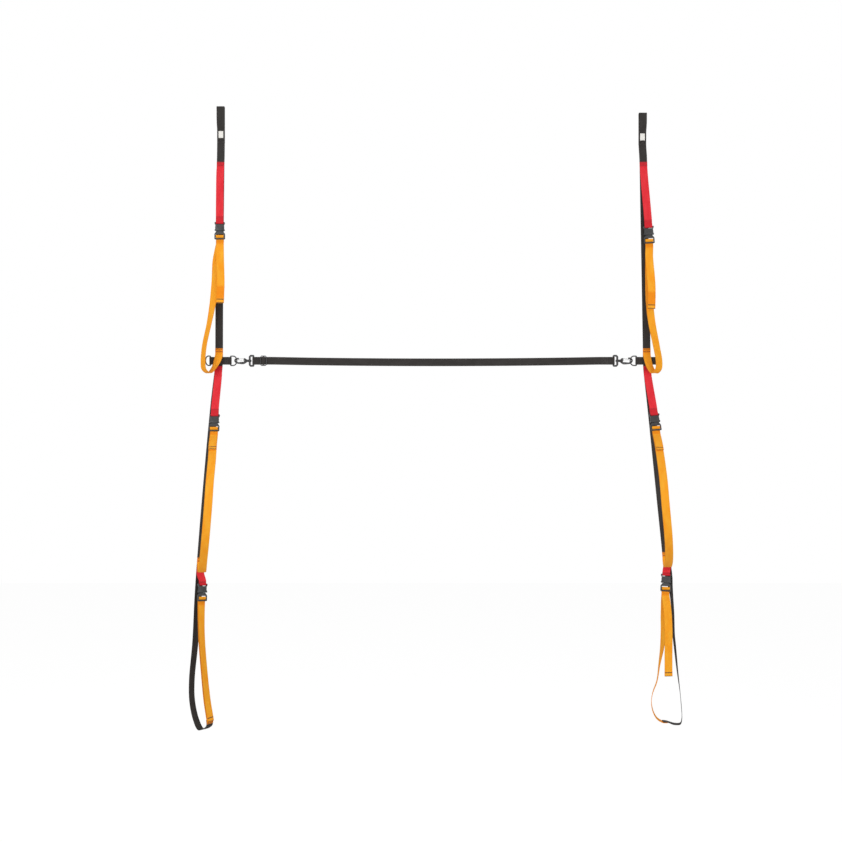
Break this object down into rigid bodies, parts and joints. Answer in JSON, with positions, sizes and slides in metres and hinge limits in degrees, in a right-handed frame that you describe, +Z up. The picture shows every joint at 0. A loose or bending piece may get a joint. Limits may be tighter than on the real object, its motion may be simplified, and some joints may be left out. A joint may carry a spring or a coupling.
{
  "type": "boat rack",
  "caption": "Wall-hung webbing rack for small boats: vertical straps with adjustable buckled slings, joined by a snap-hook spreader strap.",
  "frame": {"origin": "inside of the top of the left hanging loop, on the middle plane of the left main strap", "axes": "+X to the right along the wall, +Y to the wall, +Z up"},
  "size_m": [1.6211, 0.236, 2.0456],
  "materials": {
    "black_webbing": "flat polypropylene webbing, close ribbed weave",
    "red_webbing": "flat polypropylene webbing, close ribbed weave",
    "orange_webbing": "flat polypropylene webbing, close ribbed weave",
    "label_cloth": "thin woven label cloth, blank",
    "black_plastic": "injection moulded acetal, fine satin texture",
    "black_coated_metal": "smooth black coating on steel wire and cast zinc",
    "bright_wire": "drawn spring wire"
  },
  "bodies": {
    "webbing_and_male_locks": {"left_backbone": "black_webbing", "left_label": "label_cloth", "left_upper_tab": "red_webbing", "left_upper_male": "black_plastic", "left_upper_strap": "orange_webbing", "left_middle_tab": "red_webbing", "left_middle_male": "black_plastic", "left_middle_strap": "orange_webbing", "left_lower_tab": "red_webbing", "left_lower_male": "black_plastic", "left_lower_strap": "orange_webbing", "left_cross_strap": "black_webbing", "right_backbone": "black_webbing", "right_label": "label_cloth", "right_upper_tab": "red_webbing", "right_upper_male": "black_plastic", "right_upper_strap": "orange_webbing", "right_middle_tab": "red_webbing", "right_middle_male": "black_plastic", "right_middle_strap": "orange_webbing", "right_lower_tab": "red_webbing", "right_lower_male": "black_plastic", "right_lower_strap": "orange_webbing", "right_cross_strap": "black_webbing", "spreader_webbing": "black_webbing"},
    "left_upper_female": {"left_upper_female": "black_plastic"},
    "left_upper_right_arm": {"left_upper_right_arm": "black_plastic"},
    "left_upper_left_arm": {"left_upper_left_arm": "black_plastic"},
    "left_middle_female": {"left_middle_female": "black_plastic"},
    "left_middle_right_arm": {"left_middle_right_arm": "black_plastic"},
    "left_middle_left_arm": {"left_middle_left_arm": "black_plastic"},
    "left_lower_female": {"left_lower_female": "black_plastic"},
    "left_lower_right_arm": {"left_lower_right_arm": "black_plastic"},
    "left_lower_left_arm": {"left_lower_left_arm": "black_plastic"},
    "right_upper_female": {"right_upper_female": "black_plastic"},
    "right_upper_right_arm": {"right_upper_right_arm": "black_plastic"},
    "right_upper_left_arm": {"right_upper_left_arm": "black_plastic"},
    "right_middle_female": {"right_middle_female": "black_plastic"},
    "right_middle_right_arm": {"right_middle_right_arm": "black_plastic"},
    "right_middle_left_arm": {"right_middle_left_arm": "black_plastic"},
    "right_lower_female": {"right_lower_female": "black_plastic"},
    "right_lower_right_arm": {"right_lower_right_arm": "black_plastic"},
    "right_lower_left_arm": {"right_lower_left_arm": "black_plastic"},
    "left_left_ring": {"left_left_ring": "black_coated_metal"},
    "left_right_ring": {"left_right_ring": "black_coated_metal"},
    "right_left_ring": {"right_left_ring": "black_coated_metal"},
    "right_right_ring": {"right_right_ring": "black_coated_metal"},
    "left_eye": {"left_eye": "black_coated_metal"},
    "left_hook": {"left_hook": "black_coated_metal"},
    "left_gate": {"left_gate": "bright_wire"},
    "right_eye": {"right_eye": "black_coated_metal"},
    "right_hook": {"right_hook": "black_coated_metal"},
    "right_gate": {"right_gate": "bright_wire"},
    "slider": {"slider": "black_coated_metal"}
  },
  "joints": [
    {"name": "left_upper_buckle_slide", "type": "slide", "parent": "webbing_and_male_locks", "child": "left_upper_female", "axis": [0, 0, 1], "range_m": [0, 0.026], "deforming": ["left_upper_tab", "left_upper_right_arm", "left_upper_left_arm"]},
    {"name": "left_upper_right_arm_press", "type": "hinge", "parent": "webbing_and_male_locks", "child": "left_upper_right_arm", "pos_m": [0.0055, -0.012, -0.4091], "axis": [0, -1, 0], "range_deg": [0, 6], "stiffness_Nm_per_rad": 0.2, "springref_deg": -1.15},
    {"name": "left_upper_left_arm_press", "type": "hinge", "parent": "webbing_and_male_locks", "child": "left_upper_left_arm", "pos_m": [-0.0095, -0.012, -0.4091], "axis": [0, 1, 0], "range_deg": [0, 6], "stiffness_Nm_per_rad": 0.2, "springref_deg": -1.15},
    {"name": "left_middle_buckle_slide", "type": "slide", "parent": "webbing_and_male_locks", "child": "left_middle_female", "axis": [0, 0.2924, 0.9563], "range_m": [0, 0.026], "deforming": ["left_middle_tab", "left_middle_right_arm", "left_middle_left_arm"]},
    {"name": "left_middle_right_arm_press", "type": "hinge", "parent": "webbing_and_male_locks", "child": "left_middle_right_arm", "pos_m": [-0.0055, -0.0517, -1.04114], "axis": [0, -0.9563, 0.2924], "range_deg": [0, 6], "stiffness_Nm_per_rad": 0.2, "springref_deg": -1.15},
    {"name": "left_middle_left_arm_press", "type": "hinge", "parent": "webbing_and_male_locks", "child": "left_middle_left_arm", "pos_m": [-0.0205, -0.0517, -1.04114], "axis": [0, 0.9563, -0.2924], "range_deg": [0, 6], "stiffness_Nm_per_rad": 0.2, "springref_deg": -1.15},
    {"name": "left_lower_buckle_slide", "type": "slide", "parent": "webbing_and_male_locks", "child": "left_lower_female", "axis": [0, 0.1392, 0.9903], "range_m": [0, 0.026], "deforming": ["left_lower_tab", "left_lower_right_arm", "left_lower_left_arm"]},
    {"name": "left_lower_right_arm_press", "type": "hinge", "parent": "webbing_and_male_locks", "child": "left_lower_right_arm", "pos_m": [-0.05223, -0.0153, -1.59854], "axis": [0.6391, -0.7616, 0.107], "range_deg": [0, 6], "stiffness_Nm_per_rad": 0.2, "springref_deg": -1.15},
    {"name": "left_lower_left_arm_press", "type": "hinge", "parent": "webbing_and_male_locks", "child": "left_lower_left_arm", "pos_m": [-0.06377, -0.02479, -1.59721], "axis": [-0.6391, 0.7616, -0.107], "range_deg": [0, 6], "stiffness_Nm_per_rad": 0.2, "springref_deg": -1.15},
    {"name": "right_upper_buckle_slide", "type": "slide", "parent": "webbing_and_male_locks", "child": "right_upper_female", "axis": [-0.0593, 0, 0.9982], "range_m": [0, 0.026], "deforming": ["right_upper_tab", "right_upper_right_arm", "right_upper_left_arm"]},
    {"name": "right_upper_right_arm_press", "type": "hinge", "parent": "webbing_and_male_locks", "child": "right_upper_right_arm", "pos_m": [1.4176, -0.012, -0.4218], "axis": [0, -1, 0], "range_deg": [0, 6], "stiffness_Nm_per_rad": 0.2, "springref_deg": -1.15},
    {"name": "right_upper_left_arm_press", "type": "hinge", "parent": "webbing_and_male_locks", "child": "right_upper_left_arm", "pos_m": [1.40263, -0.012, -0.42269], "axis": [0, 1, 0], "range_deg": [0, 6], "stiffness_Nm_per_rad": 0.2, "springref_deg": -1.15},
    {"name": "right_middle_buckle_slide", "type": "slide", "parent": "webbing_and_male_locks", "child": "right_middle_female", "axis": [-0.0751, 0.2915, 0.9536], "range_m": [0, 0.026], "deforming": ["right_middle_tab", "right_middle_right_arm", "right_middle_left_arm"]},
    {"name": "right_middle_right_arm_press", "type": "hinge", "parent": "webbing_and_male_locks", "child": "right_middle_right_arm", "pos_m": [1.43035, -0.05155, -1.03808], "axis": [0, -0.9563, 0.2924], "range_deg": [0, 6], "stiffness_Nm_per_rad": 0.2, "springref_deg": -1.15},
    {"name": "right_middle_left_arm_press", "type": "hinge", "parent": "webbing_and_male_locks", "child": "right_middle_left_arm", "pos_m": [1.41539, -0.05189, -1.03916], "axis": [0, 0.9563, -0.2924], "range_deg": [0, 6], "stiffness_Nm_per_rad": 0.2, "springref_deg": -1.15},
    {"name": "right_lower_buckle_slide", "type": "slide", "parent": "webbing_and_male_locks", "child": "right_lower_female", "axis": [0.052, 0.1044, 0.9932], "range_m": [0, 0.026], "deforming": ["right_lower_tab", "right_lower_right_arm", "right_lower_left_arm"]},
    {"name": "right_lower_right_arm_press", "type": "hinge", "parent": "webbing_and_male_locks", "child": "right_lower_right_arm", "pos_m": [1.47117, -0.02408, -1.56568], "axis": [0, -0.9945, 0.1045], "range_deg": [0, 6], "stiffness_Nm_per_rad": 0.2, "springref_deg": -1.15},
    {"name": "right_lower_left_arm_press", "type": "hinge", "parent": "webbing_and_male_locks", "child": "right_lower_left_arm", "pos_m": [1.45619, -0.02399, -1.56491], "axis": [0, 0.9945, -0.1045], "range_deg": [0, 6], "stiffness_Nm_per_rad": 0.2, "springref_deg": -1.15},
    {"name": "left_left_ring_hinge", "type": "hinge", "parent": "webbing_and_male_locks", "child": "left_left_ring", "pos_m": [-0.035, 0.0027, -0.836], "axis": [0, 0, 1], "range_deg": [-60, 60]},
    {"name": "left_right_ring_hinge", "type": "hinge", "parent": "webbing_and_male_locks", "child": "left_right_ring", "pos_m": [0.031, 0.0027, -0.836], "axis": [0, 0, 1], "range_deg": [-8, 8]},
    {"name": "right_left_ring_hinge", "type": "hinge", "parent": "webbing_and_male_locks", "child": "right_left_ring", "pos_m": [1.372, 0.0027, -0.836], "axis": [0, 0, 1], "range_deg": [-8, 8]},
    {"name": "right_right_ring_hinge", "type": "hinge", "parent": "webbing_and_male_locks", "child": "right_right_ring", "pos_m": [1.438, 0.0027, -0.836], "axis": [0, 0, 1], "range_deg": [-60, 60]},
    {"name": "left_eye_hinge", "type": "hinge", "parent": "webbing_and_male_locks", "child": "left_eye", "pos_m": [0.1074, 0.0027, -0.836], "axis": [0, 0, 1], "range_deg": [-3.1, 3.1]},
    {"name": "left_hook_swivel", "type": "hinge", "parent": "left_eye", "child": "left_hook", "pos_m": [0.0914, 0.0027, -0.836], "axis": [1, 0, 0], "range_deg": [0, 80]},
    {"name": "left_gate_press", "type": "hinge", "parent": "left_hook", "child": "left_gate", "pos_m": [0.0779, -0.00251, -0.83163], "axis": [0, -0.6428, -0.766], "range_deg": [0, 25], "stiffness_Nm_per_rad": 0.03, "springref_deg": -5.73},
    {"name": "right_eye_hinge", "type": "hinge", "parent": "webbing_and_male_locks", "child": "right_eye", "pos_m": [1.2956, 0.0027, -0.836], "axis": [0, 0, 1], "range_deg": [-3.1, 3.1]},
    {"name": "right_hook_swivel", "type": "hinge", "parent": "right_eye", "child": "right_hook", "pos_m": [1.3116, 0.0027, -0.836], "axis": [1, 0, 0], "range_deg": [0, 85]},
    {"name": "right_gate_press", "type": "hinge", "parent": "right_hook", "child": "right_gate", "pos_m": [1.3251, -0.00185, -0.83095], "axis": [0, 0.7431, 0.6691], "range_deg": [0, 25], "stiffness_Nm_per_rad": 0.03, "springref_deg": -5.73},
    {"name": "slider_slide", "type": "slide", "parent": "webbing_and_male_locks", "child": "slider", "axis": [1, 0, 0], "range_m": [0, 0.12], "deforming": ["spreader_webbing"]}
  ],
  "couplings": [
    {"joint": "left_upper_left_arm_press", "follows": "left_upper_right_arm_press", "ratio": 1},
    {"joint": "left_middle_left_arm_press", "follows": "left_middle_right_arm_press", "ratio": 1},
    {"joint": "left_lower_left_arm_press", "follows": "left_lower_right_arm_press", "ratio": 1},
    {"joint": "right_upper_left_arm_press", "follows": "right_upper_right_arm_press", "ratio": 1},
    {"joint": "right_middle_left_arm_press", "follows": "right_middle_right_arm_press", "ratio": 1},
    {"joint": "right_lower_left_arm_press", "follows": "right_lower_right_arm_press", "ratio": 1},
    {"joint": "left_eye_hinge", "follows": "left_right_ring_hinge", "ratio": -0.3791},
    {"joint": "right_eye_hinge", "follows": "right_left_ring_hinge", "ratio": -0.3791}
  ]
}
